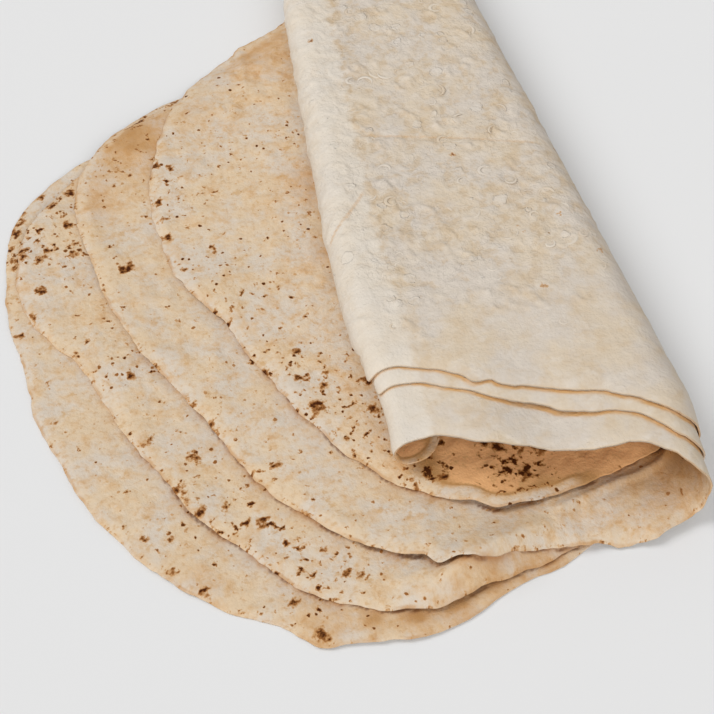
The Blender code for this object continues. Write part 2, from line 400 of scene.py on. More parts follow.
def painted_rim_shade(other, across, along):
    """Painted shade beside the rim of the other sheet: 1 there, falling to 0 a few mm away from it,
    and weaker at the left, where the rim faces the light.
    """
    if other < 0 or other >= len(SHEETS):
        return np.zeros_like(across)
    centre = SHEETS[other][2]
    towards = (along - centre[1]) / (np.hypot(across - centre[0], along - centre[1]) + 1e-6)
    share = RIM_SHADE_LEAST + (1 - RIM_SHADE_LEAST) * between(towards, -0.2, -0.7)
    away = uneven_rim(other, across, along)
    deep_shade, soft = RIM_SHADE_SHARES
    return share * (deep_shade * bell(away / RIM_SHADE_REACH) + soft * bell(away / RIM_SHADE_BAND))


def open_share(other, across, along):
    """1 where the other sheet doesn't cover this place, 0 where it does."""
    if other < 0 or other >= len(SHEETS):
        return np.ones_like(across)
    return ease(-uneven_rim(other, across, along) / COVER_REACH)


# Relief of the dough: the size of what repeats and its height, in mm
FACE_PUFFS = (15, 1.15)
FACE_BUMPS = (6.0, 0.40)
FACE_WRINKLES = (12, 0.35)
BACK_PILLOWS = (21, 0.55)
BACK_BUMPS = (6.5, 0.26)
BACK_LINES = (14, 0.45)
COVERED = 0.2                # the share of the relief that is left where a sheet is covered
SMOOTH_FRONT = (0.55, 45, 105)    # the flap's relief at its front end, and where it grows


def pushed(places, reach, size, seed):
    """Places pushed about by smooth waves, so that what is laid out there comes out uneven."""
    return places + reach * np.stack([ripple(places, size, seed),
                                      ripple(places, size, seed + 1)], 1)


def ridges(places, size, seed, sharpness, power):
    """Thin ridges where smooth waves cross zero, from 0 to 1."""
    return (1 - np.abs(ripple(places, size, seed)) * sharpness).clip(0, 1) ** power


def face_relief(sheet, across, along):
    """The browned face: puffed blisters and tight wrinkles, in mm outwards."""
    places = np.stack([across, along], 1)
    warp = pushed(places, 5, 21, 35)
    size, height = FACE_PUFFS
    puffs = np.maximum(0, ripple(warp, size, 40 + sheet) + 0.1) ** 1.4 * height
    size, height = FACE_BUMPS
    bumps = ripple(warp, size, 50 + sheet) * height
    size, height = FACE_WRINKLES
    wrinkles = ridges(warp, size, 60 + sheet, 2.4, 3) * height
    smooth = 0.45 + 0.55 * ease(0.5 + 1.2 * ripple(places, 48, 65 + sheet))
    shown = COVERED + (1 - COVERED) * open_share(sheet + 1, across, along)
    relief = smooth * shown * (puffs + bumps + wrinkles)
    return relief + pressed_relief(sheet, "face", across, along)


def back_relief(sheet, across, along):
    """The pale face: soft pillows between pressed lines."""
    places = np.stack([across, along], 1)
    warp = pushed(places, 5, 19, 66)
    size, height = BACK_PILLOWS
    pillows = ripple(warp, size, 70 + sheet) * height
    size, height = BACK_BUMPS
    bumps = ripple(warp, size, 80 + sheet) * height
    size, height = BACK_LINES
    lines = ridges(warp, size, 90 + sheet, 2.6, 2) * height
    smooth = 0.35 + 0.65 * ease(0.62 + 1.1 * ripple(places, 55, 95 + sheet))
    least, start, end = SMOOTH_FRONT
    smooth = smooth * (least + (1 - least) * between(along, start, end))
    shown = COVERED + (1 - COVERED) * open_share(sheet - 1, across, along)
    relief = smooth * shown * (pillows + bumps + lines)
    if sheet == 0:
        relief += blisters(across, along)
    return relief + pressed_relief(sheet, "back", across, along)


# Broken blisters on the flap's outer face: rings of raised skin round a sunken middle, in mm
BLISTER_COUNT = 110
BLISTER_RADIUS = (2.6, 6.0)
BLISTER_SKIN = (0.9, 1.3)    # half the width of the raised ring
BLISTER_HEIGHT = (0.45, 0.95)
BLISTER_DEPTH = 0.25
BLISTER_FIELD = ((60, 70), (172, 400))     # corners of the stretch that has them


def blisters(across, along):
    """Height of the broken blisters at places on the flat bottom sheet, in mm."""
    rng = np.random.default_rng(31)
    height = np.zeros_like(across)
    for _ in range(BLISTER_COUNT):
        middle = rng.uniform(*BLISTER_FIELD)
        radius, skin, lift, torn = rng.uniform(*zip(BLISTER_RADIUS, BLISTER_SKIN, BLISTER_HEIGHT,
                                                    (0, math.tau)))
        dx, dy = across - middle[0], along - middle[1]
        near = np.hypot(dx, dy) < 2 * radius + 4
        dx, dy = dx[near], dy[near]
        angle = np.arctan2(dy, dx) - torn
        wavy = radius * (1 + 0.18 * np.sin(2 * angle + torn) + 0.10 * np.sin(3 * angle))
        away = np.hypot(dx, dy) - wavy
        whole = ease(0.9 - 1.2 * np.cos(angle))        # the ring is broken on one side
        height[near] += lift * bell(away / skin) * whole - BLISTER_DEPTH * ease(-away / radius)
    return height


def steps(runs):
    """Places from runs of (from, to, step), with one at each run's start."""
    places = []
    for start, end, step in runs:
        count = max(1, round((end - start) / step))
        places.extend(start + (end - start) * i / count for i in range(count))
    return np.array(places + [runs[-1][1]])


def uneven_rim(sheet, across, along):
    """Distance inwards from the real rim, which wanders a little from the even one."""
    centre = SHEETS[sheet][2]
    dx, dy = across - centre[0], along - centre[1]
    distance = np.hypot(dx, dy) + 1e-6
    on_rim = np.stack([dx / distance, dy / distance], 1) * RIM_PLACE
    room = rim_room(sheet, across, along)
    for number, (size, height) in enumerate(RIM_WOBBLE):
        room = room + height * ripple(on_rim, size, 100 + 10 * sheet + number)
    return room


def cut_round(lines, alongs, room):
    """Triangles of a net of lines inside the rim, cut along it, with the net's points."""
    rows, columns = len(lines), len(alongs)
    points = np.stack(np.meshgrid(lines, alongs, indexing="ij"), -1).reshape(-1, 2)
    index = np.arange(rows * columns).reshape(rows, columns)
    low, side, far, top = index[:-1, :-1], index[1:, :-1], index[1:, 1:], index[:-1, 1:]
    # points near the cut move onto it, so that no slivers are left
    for a, b in ((index[:-1], index[1:]), (index[:, :-1], index[:, 1:]), (low, far)):
        a, b = a.ravel(), b.ravel()
        crossed = room[a] * room[b] < 0
        a, b = a[crossed], b[crossed]
        share = room[a] / (room[a] - room[b])
        place = points[a] + share[:, None] * (points[b] - points[a])
        for corner, near in ((a, share < SNAP), (b, share > 1 - SNAP)):
            points[corner[near]] = place[near]
            room[corner[near]] = 0.0
    triangles = np.concatenate([np.stack([low, side, far], -1).reshape(-1, 3),
                                np.stack([low, far, top], -1).reshape(-1, 3)])
    # triangles inside stay whole; those with one or two corners outside are cut
    inside = room[triangles]
    whole = (inside >= 0).all(1) & (inside > 0).any(1)
    cut = (inside < 0).any(1) & (inside > 0).any(1)
    kept = [triangles[whole]]
    triangles, inside = triangles[cut], inside[cut]
    outside_count = (inside < 0).sum(1)
    shapes = []
    for count in (1, 2):
        some = triangles[outside_count == count]
        signs = inside[outside_count == count] < 0
        odd = np.argmax(signs if count == 1 else ~signs, axis=1)
        shapes.append(some[np.arange(len(some))[:, None], (odd[:, None] + np.arange(3)) % 3])
    # a new point where each edge crosses the rim, made once for both of its triangles
    outer, first, second = shapes[0].T
    inner, out_first, out_second = shapes[1].T
    edges_a = np.concatenate([second, first, inner, inner])
    edges_b = np.concatenate([outer, outer, out_first, out_second])
    key = np.minimum(edges_a, edges_b) * len(room) + np.maximum(edges_a, edges_b)
    _, where, back = np.unique(key, return_index=True, return_inverse=True)
    a, b = edges_a[where], edges_b[where]
    share = room[a] / (room[a] - room[b])
    added = points[a] + share[:, None] * (points[b] - points[a])
    crossing = np.where(room[edges_a] == 0, edges_a, len(points) + back.ravel())
    after, before, rise, fall = np.split(
        crossing, np.cumsum([len(outer), len(outer), len(inner)]))
    kept.append(np.stack([first, second, after], 1))
    kept.append(np.stack([first, after, before], 1))
    kept.append(np.stack([inner, rise, fall], 1))
    triangles = np.concatenate(kept)
    # triangles that snapping made flat go, and so do the points that none uses
    real = ((triangles[:, 0] != triangles[:, 1]) & (triangles[:, 1] != triangles[:, 2])
            & (triangles[:, 2] != triangles[:, 0]))
    points = np.concatenate([points, added])
    used, triangles = np.unique(triangles[real], return_inverse=True)
    return points[used], triangles.reshape(-1, 3)


def rim_edges(triangles, count):
    """The edges that only one triangle has, each with the bread on its left."""
    edges = np.concatenate([triangles[:, [0, 1]], triangles[:, [1, 2]], triangles[:, [2, 0]]])
    ahead = edges[:, 0] * count + edges[:, 1]
    behind = edges[:, 1] * count + edges[:, 0]
    return edges[~np.isin(ahead, behind)]


# Baking marks and painted light and shade, on the flat sheets in mm. What is browned all over, or
# has painted shade or glow, and where specks crowd: sheet, across, along, reach, and how strong.
# Past 1 the colour is a painted shade of brown, and further on a glowing orange tan, painted light.
# Rows of sheet 0 along its front, of sheet 1 beside the crease and of sheet 2 under the lip of
# sheet 3 are painted shade; the strongest rows, of sheet 3 in the mouth and of sheet 2 in the curl,
# are painted warm light, for light that passes through and bounces in the thin dough.
TOAST_SHADE_AND_GLOW = (
    (1, -225, 268, 30, 0.7), (2, -200, 276, 36, 1.0), (2, -232, 236, 22, 0.8),
    (3, -108, 215, 20, 0.75), (3, -113, 160, 16, 0.6), (3, -118, 342, 34, 0.9),
    (3, -172, 292, 22, 0.5), (3, -76, 14, 40, 2.0), (3, -30, 30, 66, 2.1),
    (2, 0, -14, 26, 0.8), (2, 206, 12, 28, 2.3), (2, 30, 20, 62, 1.5),
    (0, -176, -54, 16, 0.7), (0, -225, -18, 18, 0.5), (2, -46, -38, 22, 0.3),
    (1, -74, -47, 14, 1.0), (1, -96, -51, 11, 0.95), (1, -114, -55, 8, 0.9),
    (1, -56, -42, 12, 1.0), (0, -152, -53, 9, 1.0), (0, -134, -58, 11, 1.15),
    (0, -115, -60, 13, 1.15), (0, -93, -55, 13, 1.1), (0, -70, -45, 11, 1.0),
    (1, -110, -38, 6, 1.05), (2, -82, -27, 12, 0.3),
)
CROWDED = (
    (1, -258, 212, 34, 1.0), (1, -248, 246, 22, 0.9), (0, -272, 225, 26, 0.9),
    (0, -278, 165, 22, 0.5), (1, -228, 60, 30, 0.5), (1, -205, 20, 30, 0.8),
    (1, -172, -14, 34, 1.0), (1, -238, 120, 40, 0.4), (2, -200, 70, 30, 0.5),
    (2, -175, 35, 22, 0.4), (2, -185, 295, 40, 1.0), (2, -215, 262, 26, 0.7),
    (3, -146, 78, 38, 1.0), (3, -190, 230, 24, 0.9), (3, -165, 150, 40, 0.65),
    (3, -150, 260, 40, 0.45), (3, -110, 190, 28, 0.9), (3, -108, 255, 20, 0.8),
    (3, -66, 4, 19, 2.0), (3, -107, 15, 13, 1.8), (3, -122, 40, 30, 0.9),
    (0, -225, 10, 40, 0.4), (0, -185, -40, 30, 0.4), (2, -90, -20, 30, 0.1),
)
# The largest scorched blisters of each sheet: across, along and reach
SCORCHED = (
    ((-272, 225, 3.4), (-266, 239, 2.8), (-269, 232, 3.0), (-276, 213, 3.0), (-274, 203, 3.0),
     (-176, -55, 3.6), (-233, -7, 2.8), (-221, -20, 2.6), (-185, -36, 2.4), (-241, 15, 2.3),
     (-280, 151, 2.5), (-254, 249, 2.4), (-276, 198, 2.2), (-271, 92, 2.0), (-235, 64, 2.0),
     (-269, 117, 1.8), (-230, 10, 2.0)),
    ((-250, 237, 3.8), (-268, 206, 2.6), (-257, 203, 2.2), (-214, 20, 3.2), (-218, 28, 2.6),
     (-221, 35, 3.4), (-271, 202, 3.6), (-262, 199, 3.2), (-211, 51, 3.4), (-187, 7, 3.2),
     (-239, 245, 3.4), (-264, 177, 3.0), (-244, 198, 2.8), (-230, 66, 2.8), (-201, 20, 2.6),
     (-243, 206, 2.6), (-247, 138, 2.5), (-252, 205, 2.4), (-271, 160, 2.4), (-243, 220, 2.2),
     (-152, -32, 2.4), (-231, 109, 2.2), (-165, -14, 2.3), (-180, -4, 2.4), (-195, 10, 2.2),
     (-158, -30, 2.6)),
    ((-219, 179, 4.4), (-204, 81, 3.0), (-189, 297, 2.9), (-169, 305, 2.6), (-193, 290, 2.5),
     (-169, 6, 3.2), (-199, 67, 2.3), (-175, 36, 2.2), (-206, 283, 2.2), (-196, 178, 2.0),
     (-171, 100, 2.0), (-187, 34, 2.0), (-206, 246, 2.0), (-212, 243, 1.8), (4, -30, 1.8)),
    ((-117, 9, 2.2), (-115, 4, 2.6), (-66, -3, 3.4), (-60, -4, 2.6), (-71, -11, 2.2),
     (-120, 72, 2.2), (-110, 93, 2.0), (-119, 52, 2.0), (-148, 62, 4.4), (-105, 22, 4.2),
     (-99, 25, 3.0), (-194, 194, 4.0), (-72, 18, 3.8), (-77, 21, 3.0), (-108, 11, 3.6),
     (-103, 7, 2.8), (-149, 98, 3.4), (-158, 63, 3.2), (-151, 81, 3.3), (-122, 54, 3.0),
     (-54, 9, 3.0), (-66, -4, 2.8), (-60, -5, 2.6), (-177, 126, 2.6), (-194, 221, 2.4),
     (-174, 179, 2.3), (-190, 169, 2.3), (-167, 90, 2.2), (-137, 81, 2.2), (-141, 74, 2.2),
     (-61, 13, 2.4), (-191, 248, 2.2), (-183, 245, 2.0), (-182, 134, 2.0), (-193, 208, 2.0)),
)
SCORCHED_SHARE = 0.85        # how much of its reach a scorched blister darkens
SCORCHED_STEEPNESS = 2       # flat-topped, with a steep border
MARKS_PUSHED = (2.6, 5.5)    # mm that marks are pushed about, and over what size
RIM_PALE = (0.3, 0.3, 0.6, 0.76)     # how much of the toast, painted shade and painted glow fades out at the rim
RIM_PALE_REACH = (3.5, 8.0)
MOUTH_GLOW_REACH = (-25, -65)   # sheet_4 keeps its toast and painted glow right up to its rim inside the mouth, up to here
LIT_EDGE_REACH = (-20, -5)     # painted highlight: the flap is paler from here on, seen from its folded left edge, which faces the light
PALE_FRONT = (0.25, 60, 110)     # how blistered the flap is at its front end, and where it grows
# Small spots on the flap's outer skin: across, along and reach
FLAP_SPOTS = ((99, 184, 1.5), (86, 82, 1.8), (82, 120, 1.2), (71, 114, 1.4), (84, 124, 1.1),
              (40, 179, 2.6), (61, 125, 1.6), (50, 98, 1.6), (146, 300, 1.6))


def strongest(entries, across, along, steepness=1):
    """The strongest of some round marks, each across, along, reach, strength."""
    field = np.zeros_like(across)
    for mid_across, mid_along, reach, strength in entries:
        away = np.hypot(across - mid_across, along - mid_along)
        field = np.maximum(field, strength * bell((away / reach) ** steepness))
    return field


def baking(sheet, across, along, browned):
    """How each place is baked, from 0 to about 1, with the light and shade painted there: on the
    browned face how much toast, painted shade and painted glow there is, how speckled and how
    scorched, and on the pale face how blistered, how strong the painted highlight along the folded
    edge, and how scorched."""
    if not browned:
        spots = [spot + (1.0,) for spot in FLAP_SPOTS] if sheet == 0 else []
        least, start, end = PALE_FRONT
        blistered = least + (1 - least) * between(along, start, end)
        from_fold = across - TURN_END - flap_width(along)
        lit_edge = between(from_fold, *LIT_EDGE_REACH)
        return np.stack([blistered, lit_edge, strongest(spots, across, along)], 1)
    toast_shade_and_glow = strongest([m[1:] for m in TOAST_SHADE_AND_GLOW if m[0] == sheet], across, along)
    top = sheet == len(SHEETS) - 1
    fade = RIM_PALE[sheet] * (between(across, *MOUTH_GLOW_REACH) if top else 1)
    places = np.stack([across, along], 1)
    inside = rim_room(sheet, across, along) + 1.2 * ripple(places, 12, 122)
    toast_shade_and_glow = toast_shade_and_glow * (1 - fade + fade * between(inside, *RIM_PALE_REACH))
    crowded = strongest([m[1:] for m in CROWDED if m[0] == sheet], across, along)
    reach, size = MARKS_PUSHED
    marks = [(*place, SCORCHED_SHARE * r, 1.0) for *place, r in SCORCHED[sheet]]
    scorched = strongest(marks, *pushed(places, reach, size, 120).T, SCORCHED_STEEPNESS)
    return np.stack([toast_shade_and_glow, crowded, scorched], 1)


BACK_RELIEF_START = (8, 28)  # round the turn, where the relief of the underside begins
PALE_RIM_PAST = 8            # how far past the flap's left edge the rims are as pale as the flap
SETTLE_REACH = 20            # over this much before and after the turn, the rims settle
SHEET_PATTERN = 60.0         # sets the patterns of one sheet apart from the next one's,
BACK_PATTERN = 500.0         # and those of the pale faces apart from the browned ones'


def give_baking(mesh, sheet, across, along, edge_room, rim, pale_rim):
    """Gives a sheet's points their place on the flat bread, how it is baked there and the light and
    shade
    painted on it: first the points of the face, then those of the back and of the rim."""
    flat = np.stack([across, along, np.full(len(across), SHEET_PATTERN * sheet)], 1)
    give_attribute(mesh, "flat_place", np.concatenate(
        [flat, flat + (0, 0, BACK_PATTERN), flat[rim]]))
    browned = baking(sheet, across, along, True)
    pale = baking(sheet, across, along, False)
    give_attribute(mesh, "baking", np.concatenate(
        [browned, pale, np.where(pale_rim[rim, None], pale[rim], browned[rim])]))
    give_attribute(mesh, "rim_room", np.concatenate([edge_room, edge_room, 0 * edge_room[rim]]))
    beside, shade_under_rim = painted_rim_shade(sheet + 1, across, along), painted_rim_shade(sheet - 1, across, along)
    for strength, width, path in CREASE_SHADE if sheet == 0 else ():
        shade_under_rim = np.maximum(shade_under_rim, strength * bell(distance_to(path, across, along) / width))
    give_attribute(mesh, "rim_shade", np.concatenate([beside, shade_under_rim, beside[rim]]))


def make_sheet(sheet, face_material, back_material):
    """One flatbread: its browned face, its pale back and its round rim, folded like its solid."""
    node, slot, centre, _ = SHEETS[sheet]
    lines, alongs = steps(ACROSS_STEPS[sheet]), steps(ALONG_STEPS[sheet])
    grid_line, grid_along = (g.ravel() for g in np.meshgrid(lines, alongs, indexing="ij"))
    room = uneven_rim(sheet, flat_across(grid_line, grid_along), grid_along)
    points, triangles = cut_round(lines, alongs, room)
    line, along = points.T
    across = flat_across(line, along)
    edge_room = np.maximum(uneven_rim(sheet, across, along), 0)
    # towards the rim the dough gets thinner and settles on the sheet that carries it
    thick = THICKNESS / 2 * (RIM_THIN + (1 - RIM_THIN) * ease(edge_room / RIM_THIN_REACH))
    settle = THICKNESS / 2 - thick
    near_rim = RIM_SETTLE * bell(edge_room / RIM_SETTLE_REACH)
    lower = (settle + near_rim * (sheet > 0)) * ease(-line / SETTLE_REACH)
    upper = settle + near_rim * (sheet < len(SHEETS) - 1)
    settle = lower - upper * ease((line - TURN_END) / SETTLE_REACH)
    calm = ease(edge_room / RIM_CALM_REACH)
    face = folded(sheet, line, along, thick - settle + calm * face_relief(sheet, across, along))
    back_calm = calm * between(line, *BACK_RELIEF_START)
    back = folded(sheet, line, along,
                  -thick - settle - back_calm * back_relief(sheet, across, along))
    # one more ring of points, a little further out, rounds the rim
    edges = rim_edges(triangles, len(points))
    rim = np.unique(edges)
    slot_of = np.full(len(points), -1)
    slot_of[rim] = np.arange(len(rim))
    out = np.stack([across[rim] - centre[0], along[rim] - centre[1]], 1)
    out /= np.linalg.norm(out, axis=1)[:, None]
    middle = folded(sheet, line[rim] + out[:, 0] * RIM_ROUND, along[rim] + out[:, 1] * RIM_ROUND,
                    -settle[rim])
    count = len(points)
    a, b = edges.T
    mid_a, mid_b = 2 * count + slot_of[a], 2 * count + slot_of[b]
    quads = np.concatenate([np.stack([count + a, count + b, mid_b, mid_a], 1),
                            np.stack([mid_a, mid_b, b, a], 1)])
    places = np.concatenate([face, back, middle])
    places[:, 2] = np.maximum(places[:, 2], 0)      # all of it rests on the table
    mesh = mesh_from(node, places, (triangles, triangles[:, ::-1] + count, quads))
    pale_rim = (line > TURN_END) & (line < FLAP_END + PALE_RIM_PAST)
    give_baking(mesh, sheet, across, along, edge_room, rim, pale_rim)
    mesh.materials.append(face_material)
    mesh.materials.append(back_material)
    which = np.zeros(len(mesh.polygons), int)
    which[len(triangles):2 * len(triangles)] = 1
    which[2 * len(triangles):] = np.tile(pale_rim[a], 2)
    mesh.polygons.foreach_set("material_index", which)
    obj = bpy.data.objects.new("lavash_" + node, mesh)
    bpy.context.scene.collection.objects.link(obj)
    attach(obj, "root")
    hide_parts(node)
    return obj


def mesh_from(name, places, faces):
    """A mesh from places in mm and arrays of faces, shaded smooth."""
    mesh = bpy.data.meshes.new("lavash_" + name)
    corners = np.concatenate([f.ravel() for f in faces])
    sizes = np.concatenate([np.full(len(f), f.shape[1]) for f in faces])
    mesh.vertices.add(len(places))
    mesh.vertices.foreach_set("co", (places * MM).ravel())
    mesh.loops.add(len(corners))
    mesh.loops.foreach_set("vertex_index", corners.astype(np.int32))
    mesh.polygons.add(len(sizes))
    starts = np.concatenate([[0], np.cumsum(sizes)[:-1]])
    mesh.polygons.foreach_set("loop_start", starts.astype(np.int32))
    mesh.update(calc_edges=True)
    mesh.validate()
    mesh.shade_smooth()
    return mesh


def give_attribute(mesh, name, values):
    """Gives each point of a mesh a value, or a triple of values, that a material reads."""
    kind = "FLOAT_VECTOR" if values.ndim == 2 else "FLOAT"
    attribute = mesh.attributes.new(name, kind, "POINT")
    attribute.data.foreach_set("vector" if values.ndim == 2 else "value", values.ravel())


def linear(hex_colour):
    """An sRGB hex colour as linear red, green, blue and alpha."""
    parts = [int(hex_colour[i:i + 2], 16) / 255 for i in (1, 3, 5)]
    parts = [c / 12.92 if c <= 0.04045 else ((c + 0.055) / 1.055) ** 2.4 for c in parts]
    return (*parts, 1.0)


# The nodes used most, by what they are called here: kind, usual settings, the inputs that are
# given in order, and the output in use. Places are in mm, so a noise's scale is 1 / its size.
NODES = {
    "noise": ("ShaderNodeTexNoise", {"Detail": 3.0, "Roughness": 0.55},
              ("Vector", "Scale", "Detail", "Roughness"), 0),
    "ramp": ("ShaderNodeMapRange", {"interpolation_type": "SMOOTHSTEP"},
             ("i0", "i1", "i2", "i3", "i4"), 0),
    "blend": ("ShaderNodeMix", {"data_type": "RGBA"}, ("i0", "i6", "i7"), 2),
}
for word in ("add", "subtract", "multiply", "multiply_add", "divide", "maximum", "absolute",
             "less_than", "sine"):
    NODES[word] = ("ShaderNodeMath", {"operation": word.upper()}, ("i0", "i1", "i2"), 0)


def add(tree, kind, *values, settings=None, **links):
    """Adds one of NODES, with its inputs in order, and gives its output, or adds a node of a
    plain kind and gives the node. Settings and inputs go by name, inputs by i and a number too."""
    kind, usual, order, used = NODES.get(kind, (kind, {}, (), None))
    node = tree.nodes.new(kind)
    given = {**usual, **(settings or {}), **dict(zip(order, values)), **links}
    for key, value in given.items():
        socket = node.inputs[int(key[1:])] if key[0] == "i" and key[1:].isdigit() else None
        socket = socket or (node.inputs[key] if key in node.inputs else None)
        if isinstance(value, bpy.types.NodeSocket):
            tree.links.new(value, socket)
        elif socket:
            hexed = isinstance(value, str) and value.startswith("#")
            socket.default_value = linear(value) if hexed else value
        else:
            setattr(node, key, value)
    return node if used is None else node.outputs[used]


def tint(tree, colour, other, value, low, high, least=0.0, most=1.0):
    """Turns a colour towards another, from the least to the most, as a value goes low to high."""
    return add(tree, "blend", add(tree, "ramp", value, low, high, least, most), colour, other)


def both(tree, first, *others):
    """Where several things meet: the product of their amounts."""
    for other in others:
        first = add(tree, "multiply", first, other)
    return first


def warped(tree, place, size, reach):
    """The place, pushed about by noise of a size, so that round cells come out uneven."""
    push = add(tree, "ShaderNodeTexNoise", settings={"Scale": 1 / size, "Detail": 2.0},
               Vector=place)
    centred = add(tree, "ShaderNodeVectorMath",
                  settings={"operation": "SUBTRACT", "i1": (0.5, 0.5, 0.5)},
                  i0=push.outputs["Color"])
    moved = add(tree, "ShaderNodeVectorMath",
                settings={"operation": "MULTIPLY_ADD", "i1": (reach,) * 3},
                i0=centred.outputs[0], i2=place)
    return moved.outputs[0]


def dough(name, roughness):
    """A baked dough: a dull shader, and the sheet's attributes that say how it is baked and where
    light and shade are painted on it.
    """
    material = bpy.data.materials.new(name)
    material.use_nodes = True
    tree = material.node_tree
    tree.nodes.clear()
    shader = add(tree, "ShaderNodeBsdfPrincipled",
                 settings={"IOR": DOUGH_IOR, "Roughness": roughness})
    output = add(tree, "ShaderNodeOutputMaterial")
    tree.links.new(shader.outputs[0], output.inputs["Surface"])
    # beside is the painted shade beside the rims of other sheets
    place, baked, room, beside = (
        add(tree, "ShaderNodeAttribute", settings={"attribute_name": attribute}).outputs[used]
        for attribute, used in (("flat_place", "Vector"), ("baking", "Vector"),
                                ("rim_room", "Fac"), ("rim_shade", "Fac")))
    baked = add(tree, "ShaderNodeSeparateXYZ", i0=baked)
    return material, tree, shader, place, baked.outputs, room, beside


def finish(tree, shader, colour, skin, strength):
    """Gives the shader its colour and the fine bumps of its skin."""
    tree.links.new(colour, shader.inputs["Base Color"])
    bumps = add(tree, "ShaderNodeBump", settings={"Strength": strength, "Distance": BUMP_DEPTH},
                Height=skin)
    tree.links.new(bumps.outputs[0], shader.inputs["Normal"])


DOUGH_IOR = 1.45             # dry starch
BUMP_DEPTH = 0.0007          # m; finer relief than the mesh has
SPECK_SPACING = 3.6          # mm between the places where a small blister can be
BLISTER_CELL = 12.0          # mm between the flap's broken skins


def crumbled(tree, place, amount, size, swing, level):
    """A soft mark broken up by noise into uneven blobs: amount and swing round a level."""
    grain = add(tree, "noise", place, 1 / size, 3, 0.6)
    uneven = add(tree, "multiply_add", grain, swing, level - swing / 2)
    marks = add(tree, "multiply_add", amount, 0.9, uneven)
    return both(tree, marks, add(tree, "ramp", amount, 0.04, 0.22))


def specks(tree, place, crowded):
    """Small roundish blisters browned in different degrees, more of them where they crowd."""
    cells = add(tree, "ShaderNodeTexVoronoi", settings={"Scale": 1 / SPECK_SPACING},
                Vector=warped(tree, place, 2.2, 2.0))
    draw = add(tree, "ShaderNodeSeparateColor", i0=cells.outputs["Color"]).outputs
    chance = add(tree, "multiply_add", crowded, 0.55, 0.08)
    there = add(tree, "less_than", draw[0], chance)
    radius = add(tree, "multiply_add", draw[1], 0.22, 0.07)
    away = add(tree, "subtract", cells.outputs["Distance"], radius)
    burn = add(tree, "multiply_add", draw[2], 0.65, 0.22)
    return both(tree, add(tree, "ramp", away, -0.08, 0.08, 1.0, 0.0), there, burn)


